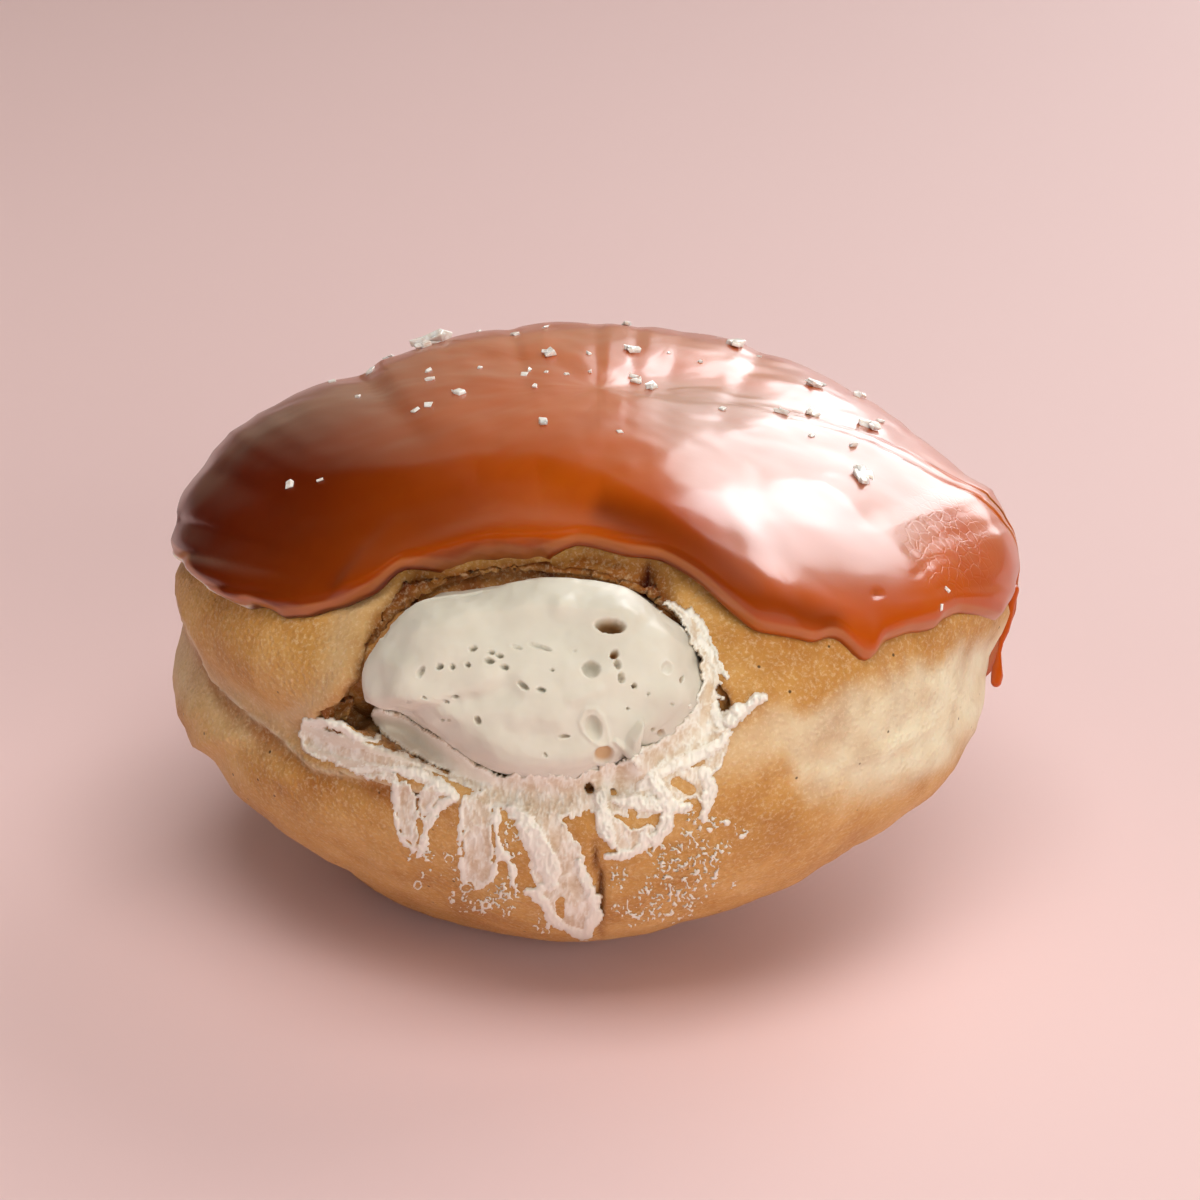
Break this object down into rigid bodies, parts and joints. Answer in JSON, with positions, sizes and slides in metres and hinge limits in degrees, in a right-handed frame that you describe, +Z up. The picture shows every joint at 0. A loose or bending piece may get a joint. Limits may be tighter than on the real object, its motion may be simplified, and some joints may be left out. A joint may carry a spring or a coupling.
{
  "type": "toffee doughnut",
  "caption": "Round filled yeast doughnut with a poured toffee icing, salt flakes, and cream bulging from a slit in its front.",
  "frame": {"origin": "centre of the bounding box's footprint, on the table plane", "axes": "+Z up, and the slit with the cream faces -Y"},
  "size_m": [0.09, 0.0934, 0.0568],
  "materials": {
    "fried_dough": "matt fried crust, golden brown with a paler waist",
    "whipped_cream": "soft satin whipped cream with small air bubbles",
    "toffee_icing": "glossy set toffee with a slightly translucent edge and coarse salt on top",
    "smeared_cream": "thin drying smears of cream"
  },
  "bodies": {
    "root": {"dough": "fried_dough", "cream_filling": "whipped_cream", "toffee_icing": "toffee_icing", "cream_smears": "smeared_cream"}
  },
  "joints": []
}
